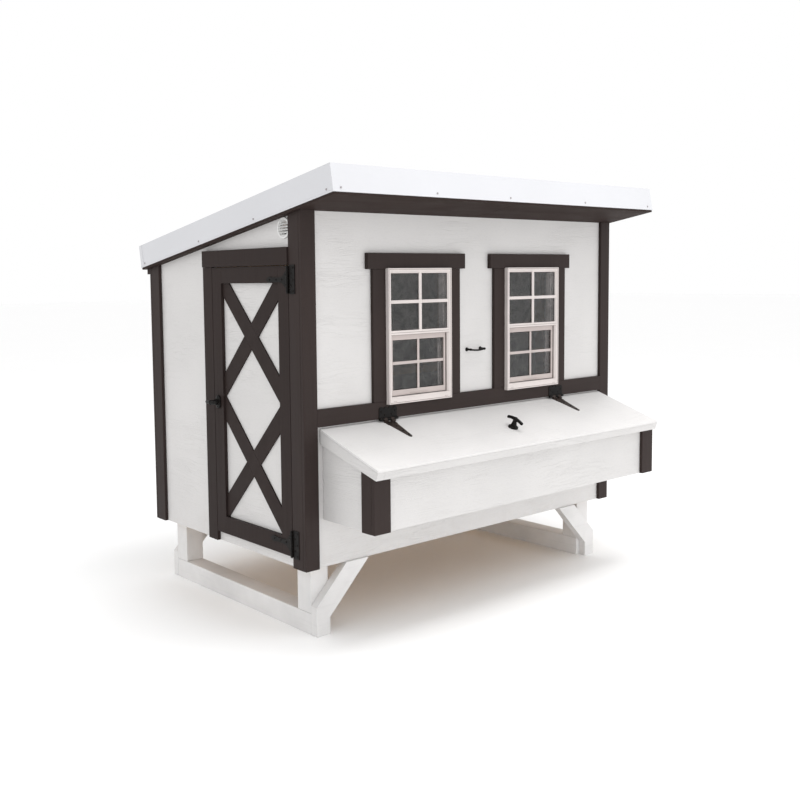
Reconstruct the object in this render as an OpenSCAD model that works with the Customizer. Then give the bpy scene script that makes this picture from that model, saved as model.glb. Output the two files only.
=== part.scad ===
// Raised wooden chicken coop: sided cabin on skid legs, lean-to metal roof,
// sliding windows, walk-in end door, lidded nest box and a drop-down pop door.
// Millimetres, +Z up, -Y is the nest-box front, the keeper's door is at -X.

/* [Cabin] */
// Length of the wall box along X
wall_l = 1946; // [1900:1:2000]
// Depth of the wall box along Y
wall_d = 1180; // [1160:1:1200]
// Height of the roof underside above the wall foot, at the front wall
eave_h = 1425; // [1400:1:1450]
// Roof fall from front to back, as a slope
roof_fall = 0.172; // [0.16:0.002:0.184]
// Thickness of the siding panels
side_t = 10; // [8:0.5:10]
// Thickness of the trim boards
trim_t = 16; // [14:0.5:17]
// Width of the corner trim boards
trim_w = 70; // [66:1:72]

/* [Floor and legs] */
// Height of the legs, ground to wall foot
leg_h = 281; // [260:1:300]
// Section of the square leg lumber
post_s = 89; // [80:1:90]
// Outer face of the left leg frame along X
leg_xl = 40; // [30:1:60]
// Outer face of the right leg frame along X
leg_xr = 1858; // [1840:1:1880]
// Front face of the front posts along Y
leg_y0 = 30; // [25:1:40]
// Back face of the back posts along Y
leg_y1 = 1098; // [1080:1:1110]
// Section of the framing battens
bat = 38; // [36:1:38]

/* [Windows] */
// Width of a window frame
win_w = 372; // [366:1:374]
// Height of a window frame
win_h = 569; // [564:1:572]
// Height of the window foot above the wall foot
win_z = 631; // [626:1:634]
// Distance of each window centre from the cabin's middle
win_off = 371; // [366:1:376]
// Visible face of the window frame
win_face = 22; // [20:1:24]
// Travel of the lower sash
sash_travel = 240; // [200:5:245]

/* [Door] */
// Width of the door opening
door_w = 567; // [550:1:570]
// Height of the door opening's foot
door_z0 = 42.6; // [42:0.2:44]
// Height of the door opening's head
door_z1 = 1216; // [1200:1:1220]
// Gap around the door leaf
door_gap = 2.5; // [2:0.5:3]
// Width of the door's stiles
stile_w = 73; // [68:1:76]
// Width of the door's diagonal boards
cross_w = 73; // [62:1:76]

/* [Nest box] */
// Front face of the nest box corner trims
nest_front = 330; // [320:1:334]
// Height of the nest box foot above the wall foot
nest_z = 194; // [190:1:200]
// Left face of the nest box
nest_x0 = 71; // [70:1:72]
// Right face of the nest box
nest_x1 = 1888; // [1880:1:1890]
// Number of nest compartments
nests = 5; // [5:1:6]

/* [Roof] */
// Side overhang beyond the corner trims
rake_over = 24; // [20:1:28]
// Front overhang along the slope
roof_front = 254; // [240:1:256]
// Roof length behind the front wall, along the slope
roof_back = 1250; // [1246:1:1260]
// Height of the metal edge trim
fascia_h = 103; // [100:1:104]
// Brown edge left showing under the metal edge trim
fascia_lift = 13; // [12:0.5:14]

/* [Hidden] */
$fn = 48;

// colours
white = [0.90, 0.89, 0.88];
brown = [0.243, 0.204, 0.196];
vinyl = [0.91, 0.87, 0.855];
metal_white = [0.91, 0.91, 0.93];
black = [0.06, 0.05, 0.045];
pine = [0.78, 0.64, 0.45];
ply = [0.72, 0.58, 0.41];
glass_c = [0.30, 0.31, 0.32, 0.6];

// roof geometry
ra = atan(roof_fall);
roof_x0 = -trim_t - rake_over;
roof_x1 = wall_l + trim_t + rake_over;
roof_mid = wall_l / 2;
roof_top = fascia_lift + fascia_h;
function zs(y) = eave_h - roof_fall * y;
roof_back_y = roof_back * cos(ra) + roof_top * sin(ra);
function rest_z() = eave_h + roof_front * sin(ra) + roof_top * cos(ra);

// lid geometry
lid_a = 18.9;
lid_x0 = 70.8; lid_x1 = 1891.7;
lid_back_y = -5.3; lid_back_z = 565.1;
lid_front_y = -356.5;
lid_t = 43;
function lid_top_z(y) = lid_back_z + tan(lid_a) * (y - lid_back_y);
lid_qy = lid_front_y + lid_t * sin(lid_a);
lid_qz = lid_top_z(lid_front_y) - lid_t * cos(lid_a);
under0 = 504;
under_k = (under0 - lid_qz) / (-lid_qy);
function lid_under(y) = under0 + under_k * y;
function sheet_under(y) = lid_top_z(y) - 10 / cos(lid_a);
lid_hx = [425, 1530];
lid_ay = -22.5; lid_az = 572;
lid_hand = [990, -213];

// door hardware geometry
handle_out = 65.9;
dh_z = [98, 1158];
dh_h = 104;
door_y0 = 69.6; door_y1 = door_y0 + door_w;
leaf_y0 = door_y0 + door_gap; leaf_y1 = door_y1 - door_gap;
leaf_z0 = door_z0 + 1.4; leaf_z1 = door_z1 - door_gap;
door_ax = -22; door_ay = door_y0;
lat_y = 602; lat_z = 627;

// pop door geometry
pop_y0 = 750; pop_y1 = 1050; pop_z0 = 61; pop_z1 = 462;
pop_ax = wall_l + trim_t + 6; pop_az = 62;
pop_hy = [820, 980];

// origin: middle of the overall box, on the ground
ox = -(-handle_out + roof_x1 + 2) / 2;
oy = -(lid_front_y + roof_back_y) / 2;
oz = leg_h;
module place() translate([ox, oy, oz]) children();

// helpers
module box(a, b) translate(a) cube([b[0] - a[0], b[1] - a[1], b[2] - a[2]]);
// board with a hair-line joint all round, so that butted boards stay separate pieces
hair = 0.1;
module bd(a, b) box([a[0] + hair, a[1] + hair, a[2] + hair], [b[0] - hair, b[1] - hair, b[2] - hair]);
module along_x(x0, x1, pts) translate([x0, 0, 0]) rotate([90, 0, 90]) linear_extrude(x1 - x0) polygon(pts);
module along_y(y0, y1, pts) translate([0, y1, 0]) rotate([90, 0, 0]) linear_extrude(y1 - y0) polygon(pts);
module above_roof() translate([-300, 0, eave_h]) rotate([-ra, 0, 0]) translate([0, -900, 0]) cube([wall_l + 600, 3000, 900]);
module in_roof() translate([0, 0, eave_h]) rotate([-ra, 0, 0]) children();
module on_lid(x, y) translate([x, y, lid_top_z(y)]) rotate([lid_a, 0, 0]) children();
module cyl_x(x0, x1, y, z, r) translate([x0, y, z]) rotate([0, 90, 0]) cylinder(r = r, h = x1 - x0);
module cyl_y(x, y0, y1, z, r) translate([x, y1, z]) rotate([90, 0, 0]) cylinder(r = r, h = y1 - y0);
module cyl_z(x, y, z0, z1, r) translate([x, y, z0]) cylinder(r = r, h = z1 - z0);
// batten standing on edge under the sloping end plates
module end_stud(x0, y0, y1, z0) {
  a = y0 + hair; b = y1 - hair;
  along_x(x0, x0 + bat, [[a, z0 + hair], [b, z0 + hair], [b, zs(b) - bat - 2 * hair], [a, zs(a) - bat - 2 * hair]]);
}

// ---------------------------------------------------------------- legs
module leg_runners() color(white) place() {
  for (x = [leg_xl, leg_xr - post_s]) box([x, leg_y0, -leg_h], [x + post_s, leg_y1, -leg_h + post_s]);
}
module leg_posts() color(white) place() {
  for (x = [leg_xl, leg_xr - post_s]) for (y = [leg_y0, leg_y1 - post_s])
    bd([x, y, -leg_h + post_s], [x + post_s, y + post_s, 0]);
}
brace_pts = [[0, -leg_h], [0, -160], [160, 0], [280, 0], [70, -210], [70, -leg_h]];
module leg_braces() color(white) place() {
  for (y = [leg_y0 - bat, leg_y1]) {
    translate([leg_xl, 0, 0]) along_y(y, y + bat, brace_pts);
    translate([leg_xr, 0, 0]) mirror([1, 0, 0]) along_y(y, y + bat, brace_pts);
  }
}

// ---------------------------------------------------------------- floor
module floor_frame() color(pine) place() {
  x0 = side_t; x1 = wall_l - side_t; y0 = side_t; y1 = wall_d - side_t;
  bd([x0, y0, 0], [x1, y0 + post_s, bat]);
  bd([x0, y1 - post_s, 0], [x1, y1, bat]);
  n = 6;
  for (i = [0:n - 1]) {
    x = x0 + i * (x1 - x0 - post_s) / (n - 1);
    bd([x, y0 + post_s, 0], [x + post_s, y1 - post_s, bat]);
  }
}
module floor_panel() color(ply) place()
  box([side_t, side_t, bat], [wall_l - side_t, wall_d - side_t, bat + 15]);

// ---------------------------------------------------------------- walls
seam_z = 608;
floor_z = bat + 15;
win_c = [roof_mid - win_off + 4, roof_mid + win_off + 1];
nest_ix0 = nest_x0 + trim_t + side_t; nest_ix1 = nest_x1 - trim_t - side_t;
nest_pitch = (nest_ix1 - nest_ix0) / nests;
vent_y = 111.8; vent_z = 1362;
module wall_front() color(white) place() {
  difference() {
    box([0, 0, seam_z + hair], [wall_l, side_t, eave_h + 20]);
    for (c = win_c) box([c - win_w / 2, -1, win_z], [c + win_w / 2, side_t + 1, win_z + win_h]);
    above_roof();
  }
  difference() {
    box([0, 0, 0], [wall_l, side_t, seam_z - hair]);
    box([nest_ix0 + 15, -1, 290], [nest_ix1 - 15, side_t + 1, 490]);
  }
}
module wall_back() color(white) place() difference() {
  box([0, wall_d - side_t, 0], [wall_l, wall_d, eave_h]);
  above_roof();
}
module wall_left() color(white) place() difference() {
  box([0, side_t, 0], [side_t, wall_d - side_t, eave_h]);
  box([-1, door_y0, door_z0 - 1], [side_t + 1, door_y1, door_z1]);
  cyl_x(-1, side_t + 1, vent_y, vent_z, 30);
  above_roof();
}
module wall_right() color(white) place() difference() {
  box([wall_l - side_t, side_t, 0], [wall_l, wall_d - side_t, eave_h]);
  box([wall_l - side_t - 1, pop_y0, pop_z0], [wall_l + 1, pop_y1, pop_z1]);
  cyl_x(wall_l - side_t - 1, wall_l + 1, vent_y, vent_z, 30);
  cyl_x(wall_l - side_t - 1, wall_l + 1, (pop_y0 + pop_y1) / 2, 480, 3.06);
  above_roof();
}

// ---------------------------------------------------------------- framing
top_f = zs(side_t + bat) - bat;
top_b = zs(wall_d - side_t) - bat;
module frame_front() color(pine) place() {
  y0 = side_t; y1 = side_t + bat; x0 = side_t; x1 = wall_l - side_t;
  bd([x0, y0, floor_z], [x1, y1, floor_z + bat]);
  difference() { bd([x0, y0, top_f], [x1, y1, eave_h]); above_roof(); }
  for (x = [x0, x1 - bat]) bd([x, y0, floor_z + bat], [x + bat, y1, top_f]);
  for (i = [1:nests - 1]) {
    x = nest_ix0 + i * nest_pitch - bat / 2;
    bd([x, y0, floor_z + bat], [x + bat, y1, 504]);
  }
  bd([x0 + bat, y0, 504], [x1 - bat, y1, win_z - bat]);
  bd([x0 + bat, y0, win_z - bat], [x1 - bat, y1, win_z]);
  for (c = win_c) {
    for (x = [c - win_w / 2 - bat, c + win_w / 2]) bd([x, y0, win_z], [x + bat, y1, top_f]);
    bd([c - win_w / 2, y0, win_z + win_h], [c + win_w / 2, y1, win_z + win_h + bat]);
  }
  bd([roof_mid - bat / 2, y0, win_z], [roof_mid + bat / 2, y1, top_f]);
}
module frame_back() color(pine) place() {
  y0 = wall_d - side_t - bat; y1 = wall_d - side_t; x0 = side_t; x1 = wall_l - side_t;
  bd([x0, y0, floor_z], [x1, y1, floor_z + bat]);
  difference() { bd([x0, y0, top_b], [x1, y1, top_b + 3 * bat]); above_roof(); }
  for (i = [0:4]) {
    x = x0 + i * (x1 - x0 - bat) / 4;
    bd([x, y0, floor_z + bat], [x + bat, y1, top_b]);
  }
}
module end_plate(x0) difference() {
  along_x(x0, x0 + bat, [[side_t + bat, zs(side_t + bat) - bat], [wall_d - side_t - bat, zs(wall_d - side_t - bat) - bat],
    [wall_d - side_t - bat, zs(wall_d - side_t - bat) - hair], [side_t + bat, zs(side_t + bat) - hair]]);
  cyl_x(x0 - 1, x0 + bat + 1, vent_y, vent_z, 31);
}
module frame_left() color(pine) place() {
  x0 = side_t; ya = side_t + bat; yb = wall_d - side_t - bat; jy = door_y1 + 18.5;
  bd([x0, jy, floor_z], [x0 + bat, yb, floor_z + bat]);
  difference() { end_stud(x0, ya, ya + bat, floor_z); cyl_x(x0 - 1, x0 + bat + 1, vent_y, vent_z, 31); }
  end_stud(x0, jy, jy + bat, floor_z + bat);
  end_stud(x0, 893, 931, floor_z + bat);
  bd([x0, ya + bat, door_z1 - 14], [x0 + bat, jy, door_z1 - 14 + bat]);
  end_plate(x0);
}
module frame_right() color(pine) place() {
  x0 = wall_l - side_t - bat; ya = side_t + bat; yb = wall_d - side_t - bat;
  bd([x0, ya, floor_z], [x0 + bat, pop_y0, floor_z + bat]);
  bd([x0, pop_y1, floor_z], [x0 + bat, yb, floor_z + bat]);
  end_stud(x0, 380, 380 + bat, floor_z + bat);
  end_stud(x0, pop_y0 - bat, pop_y0, floor_z + bat);
  end_stud(x0, pop_y1, pop_y1 + bat, floor_z + bat);
  bd([x0, pop_y0, pop_z1 - 12], [x0 + bat, pop_y1, pop_z1 - 12 + bat]);
  end_plate(x0);
}

// ---------------------------------------------------------------- trims
module corner_trims() color(brown) place() difference() {
  union() {
    for (s = [0, 1]) translate([s * wall_l, 0, 0]) mirror([s, 0, 0]) {
      box([-trim_t, -trim_t, 0], [trim_w - trim_t, 0, eave_h + 20]);
      box([-trim_t, 2 * hair, 0], [0, trim_w, eave_h + 20]);
      box([-trim_t, wall_d - trim_w, 0], [0, wall_d - 2 * hair, eave_h]);
      box([-trim_t, wall_d, 0], [trim_w - trim_t, wall_d + trim_t, 1191]);
    }
  }
  above_roof();
}
module frieze_board() color(brown) place() difference() {
  box([-trim_t, wall_d, 1191], [wall_l + trim_t, wall_d + 42, eave_h]);
  above_roof();
}
module belt_trim() color(brown) place() difference() {
  box([trim_w - trim_t, -trim_t, 572.3], [wall_l - trim_w + trim_t, 0, 643.7]);
  for (c = win_c) box([c - win_w / 2, -trim_t - 1, win_z], [c + win_w / 2, 1, 700]);
}
module window_trims() color(brown) place() for (c = win_c) {
  zt = win_z + win_h - 3.5;
  for (s = [-1, 1]) translate([c, 0, 0])
    box([s > 0 ? win_w / 2 : -win_w / 2 - trim_w, -trim_t, 643.9], [s > 0 ? win_w / 2 + trim_w : -win_w / 2, 0, zt - 2 * hair]);
  difference() {
    box([c - 286, -trim_t - 4, zt], [c + 286, 0, zt + 66.5]);
    box([c - win_w / 2, -trim_t - 5, zt - 1], [c + win_w / 2, 1, win_z + win_h]);
  }
}
module door_casing() color(brown) place() {
  bd([-23, trim_w, door_z1], [0, 705, door_z1 + 71]);
  bd([-trim_t, door_y1, 0], [0, 710, door_z1]);
}
module pop_door_casing() color(brown) place() {
  x0 = wall_l; x1 = wall_l + trim_t;
  bd([x0, pop_y0 - 60, 0], [x1, pop_y0, pop_z1]);
  bd([x0, pop_y1, 0], [x1, pop_y1 + 60, pop_z1]);
  difference() {
    bd([x0, pop_y0 - 60, pop_z1], [x1, pop_y1 + 60, pop_z1 + 60]);
    cyl_x(x0 - 1, x1 + 1, (pop_y0 + pop_y1) / 2, 480, 3.06);
  }
  bd([x0, pop_y0, 0], [x1, pop_y1, pop_z0]);
}

// ---------------------------------------------------------------- windows
win_top = win_z + win_h;
wf0 = -33; wf1 = 28;
sill_z = win_z + 30;
rail0 = win_top - 281; rail1 = win_top - 261;
hw = win_w / 2; hi = win_w / 2 - win_face;
gl0 = -25; gl1 = -21;
module window_frame(c) translate([c, 0, 0]) {
  difference() {
    box([-hw, wf0, win_z], [hw, wf1, win_top]);
    box([-hi, wf0 - 1, sill_z], [hi, wf1 + 1, win_top - win_face]);
    box([-hi - 3.5, -19, sill_z], [hi + 3.5, 1, win_top - win_face]);
    // sloped reveal between the frame face and the glass
    intersection() {
      translate([0, 0, sill_z]) linear_extrude(win_h) polygon([[-hi - 8.5, wf0 - 0.5], [hi + 8.5, wf0 - 0.5], [hi, gl0], [-hi, gl0]]);
      along_x(-hw, hw, [[wf0 - 0.5, sill_z], [gl0, sill_z], [gl0, win_top - win_face], [wf0 - 0.5, win_top - win_face + 8.5]]);
    }
  }
  // meeting rail and fixed upper glazing bars
  box([-hi - 7, -31, rail0], [hi + 7, -19.5, rail1]);
  box([-7.5, -30, rail1 - 2], [7.5, gl0, win_top - win_face + 4]);
  box([-hi - 4, -30, win_top - 148], [hi + 4, gl0, win_top - 134]);
}
module window_frame_left() color(vinyl) place() window_frame(win_c[0]);
module window_frame_right() color(vinyl) place() window_frame(win_c[1]);
module upper_glass() color(glass_c) place() for (c = win_c)
  box([c - hi, gl0, rail1], [c + hi, gl1, win_top - win_face]);
sz0 = sill_z + 0.5; sz1 = win_top - 279;
gz0 = win_top - 513; gz1 = win_top - 302;
st = 13;
module sash(c) translate([c, 0, 0]) {
  difference() {
    box([-hi - 3, -18, sz0], [hi + 3, 0, sz1]);
    box([-hi + st, -19, gz0], [hi - st, 1, gz1]);
  }
  // glazing bars of the sliding sash
  box([-6, -15, gz0 - 2], [6, -11, gz1 + 2]);
  box([-hi + st - 2, -15, win_top - 406], [hi - st + 2, -11, win_top - 393]);
}
module sash_left() color(vinyl) place() sash(win_c[0]);
module sash_right() color(vinyl) place() sash(win_c[1]);
module sash_glass(c) box([c - hi + st, -11, gz0], [c + hi - st, -7, gz1]);
module sash_glass_left() color(glass_c) place() sash_glass(win_c[0]);
module sash_glass_right() color(glass_c) place() sash_glass(win_c[1]);

// ---------------------------------------------------------------- door
pz0 = 120.2; pz1 = 1145; py0 = leaf_y0 + stile_w - door_gap; py1 = leaf_y1 - stile_w + door_gap;
module door_panel() color(white) place() difference() {
  box([0, leaf_y0, leaf_z0], [side_t - 0.5, leaf_y1, leaf_z1]);
  cyl_x(-1, side_t + 1, lat_y, lat_z, 6);
}
module door_frame() color(brown) place() {
  bd([-trim_t, leaf_y0, leaf_z0], [0, py0, leaf_z1]);
  difference() {
    bd([-trim_t, py1, leaf_z0], [0, leaf_y1, leaf_z1]);
    cyl_x(-trim_t - 1, 1, lat_y, lat_z, 6);
  }
  bd([-trim_t, py0, leaf_z0], [0, py1, pz0]);
  bd([-trim_t, py0, pz1], [0, py1, leaf_z1]);
}
pm = (py0 + py1) / 2;
pz_mid = 653.5;
brace_t = 7;
module arm(cz, s, e = 0) translate([pm, cz]) rotate([0, 0, s * atan(1.05)]) square([2000, cross_w + e], center = true);
module cross_brace(cz, z0, z1) {
  linear_extrude(brace_t) intersection() { translate([py0 + 0.15, z0]) square([py1 - py0 - 0.3, z1 - z0]); arm(cz, 1); }
  linear_extrude(brace_t) difference() {
    intersection() { translate([py0 + 0.15, z0]) square([py1 - py0 - 0.3, z1 - z0]); arm(cz, -1); }
    arm(cz, 1, 0.4);
  }
}
module door_braces() color(brown) place() translate([-brace_t, 0, 0]) rotate([90, 0, 90]) {
  cross_brace(922, pz_mid + 0.15, pz1 - 0.15);
  cross_brace(385, pz0 + 0.15, pz_mid - 0.15);
}

// strap outline: half widths along its length
strap_out = [[0, 31], [15, 31], [20, 22], [34, 12], [60, 9], [100, 9.5], [118, 13], [128, 11], [136, 5], [141, 0]];
lid_strap_out = [[0, 27], [18, 27], [30, 22], [134, 8], [139, 5], [141, 0]];
function mirrored(q) = concat([for (p = q) p], [for (i = [len(q) - 2:-1:0]) [q[i][0], -q[i][1]]]);
strap_poly = mirrored(strap_out);
kn = dh_h / 5;
module door_hinge_plates() color(black) place() for (z = dh_z) difference() {
  union() {
    box([-19, 26, z - 56.5], [-trim_t, 62, z + 58]);
    for (i = [0, 2, 4]) {
      cyl_z(door_ax, door_ay, z - dh_h / 2 + i * kn + (i > 0 ? 0.3 : 0), z - dh_h / 2 + (i + 1) * kn - (i < 4 ? 0.3 : 0), 5.5);
      box([-19, 61, z - dh_h / 2 + i * kn + (i > 0 ? 0.3 : 0)], [-trim_t - 0.5, door_ay, z - dh_h / 2 + (i + 1) * kn - (i < 4 ? 0.3 : 0)]);
    }
  }
  cyl_z(door_ax, door_ay, z - dh_h, z + dh_h, 2.56);
}
module door_hinge_straps() color(black) place() for (z = dh_z) difference() {
  union() {
    translate([-19, door_ay + 7.5, z]) rotate([90, 0, 90]) linear_extrude(3) polygon(strap_poly);
    for (i = [1, 3]) {
      cyl_z(door_ax, door_ay, z - dh_h / 2 + i * kn + 0.3, z - dh_h / 2 + (i + 1) * kn - 0.3, 5.5);
      box([-19, door_ay, z - dh_h / 2 + i * kn + 0.3], [-trim_t - 0.2, door_ay + 9, z - dh_h / 2 + (i + 1) * kn - 0.3]);
    }
  }
  cyl_z(door_ax, door_ay, z - dh_h, z + dh_h, 2.56);
}
module door_latch_rose() color(black) place() difference() {
  union() {
    for (s = [-1, 1]) cyl_x(-22.5, -trim_t, lat_y, lat_z + s * 11.5, 18);
    box([-22.5, lat_y - 18, lat_z - 11.5], [-trim_t, lat_y + 18, lat_z + 11.5]);
    cyl_x(-26, -22, lat_y, lat_z, 14.5);
  }
  cyl_x(-40, 0, lat_y, lat_z, 4.06);
}
// T handle in its own frame: foot at z = 0, bar along y, spindle below
module t_handle(spindle) {
  cylinder(r = 4, h = 30);
  translate([0, 0, -spindle]) cylinder(r = 4, h = spindle + 1);
  cylinder(r1 = 14, r2 = 8, h = 24);
  for (s = [0, 1]) mirror([0, s, 0]) translate([0, -0.5, 31]) rotate([-90, 0, 0]) cylinder(r1 = 8.5, r2 = 6, h = 44.5);
}
module door_t_handle() color(black) place() translate([-26.4, lat_y, lat_z]) rotate([0, -90, 0]) t_handle(45);
module door_latch_cam() color(black) place() difference() {
  union() {
    cyl_x(12, 16, lat_y, lat_z, 11);
    box([12, lat_y - 9, lat_z - 48], [16, lat_y + 9, lat_z]);
  }
  cyl_x(0, 30, lat_y, lat_z, 4);
}

// ---------------------------------------------------------------- nest box
nf = nest_front; nb = nest_front - trim_t; ni = nb - side_t;
function nest_top(y) = lid_under(y) - 0.5;
module nest_box() color(white) place() {
  for (x = [nest_x0 + trim_t, nest_x1 - trim_t - side_t])
    along_x(x, x + side_t, [[-nb, nest_z], [0, nest_z], [0, nest_top(0)], [-nb, nest_top(-nb)]]);
  along_x(nest_ix0 + hair, nest_ix1 - hair, [[-nb, nest_z], [-ni, nest_z], [-ni, nest_top(-ni)], [-nb, nest_top(-nb)]]);
  bd([nest_ix0, -ni, nest_z], [nest_ix1, 0, nest_z + 12]);
}
module nest_dividers() color(ply) place() for (i = [1:nests - 1]) {
  x = nest_ix0 + i * nest_pitch - 6;
  along_x(x, x + 12, [[-ni, nest_z + 12], [0, nest_z + 12], [0, nest_top(0) - 18], [-ni, nest_top(-ni) - 18]]);
}
module nest_corner_trims() color(brown) place() {
  for (x = [nest_x0, nest_x1 - 84])
    along_x(x, x + 84, [[-nf, nest_z], [-nb, nest_z], [-nb, nest_top(-nb)], [-nf, nest_top(-nf)]]);
  for (x = [nest_x0, nest_x1 - trim_t])
    along_x(x, x + trim_t, [[-nb + 2 * hair, nest_z], [-256, nest_z], [-256, nest_top(-256)], [-nb + 2 * hair, nest_top(-nb + 2 * hair)]]);
}

// ---------------------------------------------------------------- lid
module lid_top() color(white) place() difference() {
  along_x(lid_x0, lid_x1, [[lid_back_y, lid_back_z], [lid_front_y, lid_top_z(lid_front_y)],
    [lid_front_y + 10 * sin(lid_a), lid_top_z(lid_front_y) - 10 * cos(lid_a)], [lid_back_y, sheet_under(lid_back_y)]]);
  on_lid(lid_hand[0], lid_hand[1]) translate([0, 0, -40]) cylinder(r = 6, h = 60);
}
module lid_rib(x0, x1, y0, y1) along_x(x0, x1, [[y1, sheet_under(y1)], [y0, sheet_under(y0)], [y0, lid_under(y0)], [y1, lid_under(y1)]]);
module lid_frame() color(white) place() {
  fy = lid_front_y + 10 * sin(lid_a); fz = lid_top_z(lid_front_y) - 10 * cos(lid_a);
  for (x = [lid_x0, lid_x1 - bat])
    along_x(x, x + bat, [[lid_back_y, sheet_under(lid_back_y)], [fy, fz], [lid_qy, lid_qz], [lid_back_y, lid_under(lid_back_y)]]);
  along_x(lid_x0 + bat + 2 * hair, lid_x1 - bat - 2 * hair, [[lid_qy + bat, sheet_under(lid_qy + bat)], [fy, fz], [lid_qy, lid_qz], [lid_qy + bat, lid_under(lid_qy + bat)]]);
  lid_rib(lid_x0 + bat + 2 * hair, lid_x1 - bat - 2 * hair, lid_back_y - bat, lid_back_y);
  for (x = [roof_mid - 330, roof_mid + 330]) lid_rib(x - bat / 2, x + bat / 2, lid_qy + bat + 2 * hair, lid_back_y - bat - 2 * hair);
}
lk = 20;
module lid_hinge_plates() color(black) place() for (x = lid_hx) difference() {
  union() {
    box([x - 50, -trim_t - 3, 577], [x + 50, -trim_t, 614]);
    for (i = [-1.5:1:1.5]) cyl_y(x + i * 25, -trim_t - 3, -trim_t, 611, 12.5);
    for (i = [0, 2, 4]) {
      xa = x - 50 + i * lk + (i > 0 ? 0.3 : 0); xb = x - 50 + (i + 1) * lk - (i < 4 ? 0.3 : 0);
      cyl_x(xa, xb, lid_ay, lid_az, 5.5);
      box([xa, -trim_t - 3, lid_az], [xb, -trim_t - 0.5, 578]);
    }
  }
  cyl_x(x - 60, x + 60, lid_ay, lid_az, 2.56);
}
module lid_hinge_straps() color(black) place() for (x = lid_hx) difference() {
  union() {
    on_lid(x, lid_ay) {
      translate([0, -6, 0]) rotate([0, 0, -90]) linear_extrude(3) polygon(mirrored(lid_strap_out));
      for (i = [1, 3]) translate([-50 + i * lk + 0.3, -10, 0]) cube([lk - 0.6, 11, 11]);
    }
    for (i = [1, 3]) cyl_x(x - 50 + i * lk + 0.3, x - 50 + (i + 1) * lk - 0.3, lid_ay, lid_az, 5.5);
  }
  cyl_x(x - 60, x + 60, lid_ay, lid_az, 2.56);
}
module lid_handle_rose() color(black) place() on_lid(lid_hand[0], lid_hand[1]) difference() {
  union() { cylinder(r = 22.5, h = 7); translate([0, 0, 6.5]) cylinder(r1 = 22.5, r2 = 15, h = 3.5); }
  translate([0, 0, -1]) cylinder(r = 4.06, h = 20);
}
module lid_t_handle() color(black) place() on_lid(lid_hand[0], lid_hand[1]) translate([0, 0, 10.4]) t_handle(72);
module lid_latch_tongue() color(black) place() on_lid(lid_hand[0], lid_hand[1]) translate([0, 0, -60]) difference() {
  union() { cylinder(r = 10, h = 4); translate([-102, -8, 0]) cube([102, 16, 4]); }
  translate([0, 0, -1]) cylinder(r = 4, h = 8);
}
module lid_keeper() color(black) place() {
  x = lid_hand[0];
  along_x(x - 16, x + 16, [[-ni, 376], [-ni + 3, 376], [-ni + 3, 405], [-ni + 22, 411.5], [-ni + 22, 414.5], [-ni, 408]]);
}

// ---------------------------------------------------------------- pop door
module pop_door_panel() color(white) place() {
  box([wall_l - side_t + 0.5, pop_y0 + 2.5, pop_z0 + 3], [wall_l, pop_y1 - 2.5, pop_z1 - 2.5]);
  for (i = [0:6]) box([wall_l - side_t - 9.5, pop_y0 + 40, 104 + i * 50], [wall_l - side_t + 0.5, pop_y1 - 40, 122 + i * 50]);
}
module pop_door_frame() color(brown) place() {
  x0 = wall_l; x1 = wall_l + trim_t; a = pop_y0 + 2.5; b = pop_y1 - 2.5; z0 = pop_z0 + 3; z1 = pop_z1 - 2.5; w = 45;
  bd([x0, a, z0], [x1, a + w, z1]);
  bd([x0, b - w, z0], [x1, b, z1]);
  bd([x0, a + w, z0], [x1, b - w, z0 + w]);
  bd([x0, a + w, z1 - w], [x1, b - w, z1]);
}
module pop_hinge_plates() color(black) place() for (y = pop_hy) difference() {
  union() {
    box([wall_l + trim_t, y - 30, 26], [wall_l + trim_t + 2.5, y + 30, pop_az - 6]);
    for (i = [0, 2]) {
      cyl_y(pop_ax, y - 30 + i * 20 + (i > 0 ? 0.3 : 0), y - 10 + i * 20 - (i < 2 ? 0.3 : 0), pop_az, 4.5);
      box([wall_l + trim_t + 0.5, y - 30 + i * 20 + (i > 0 ? 0.3 : 0), pop_az - 7], [wall_l + trim_t + 3, y - 10 + i * 20 - (i < 2 ? 0.3 : 0), pop_az]);
    }
  }
  cyl_y(pop_ax, y - 40, y + 40, pop_az, 2.06);
}
module pop_hinge_leaves() color(black) place() for (y = pop_hy) difference() {
  union() {
    box([wall_l + trim_t, y - 30, pop_az + 6.5], [wall_l + trim_t + 2.5, y + 30, pop_az + 36]);
    cyl_y(pop_ax, y - 9.7, y + 9.7, pop_az, 4.5);
    box([wall_l + trim_t + 0.5, y - 9.7, pop_az], [wall_l + trim_t + 3, y + 9.7, pop_az + 7]);
  }
  cyl_y(pop_ax, y - 40, y + 40, pop_az, 2.06);
}
module pop_button() color(black) place() {
  y = (pop_y0 + pop_y1) / 2; x = wall_l + trim_t;
  box([x + 0.3, y - 35, 470], [x + 8.3, y + 35, 490]);
  cyl_x(x - 22, x + 1, y, 480, 3);
  cyl_x(x + 8, x + 11, y, 480, 7);
}
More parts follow.
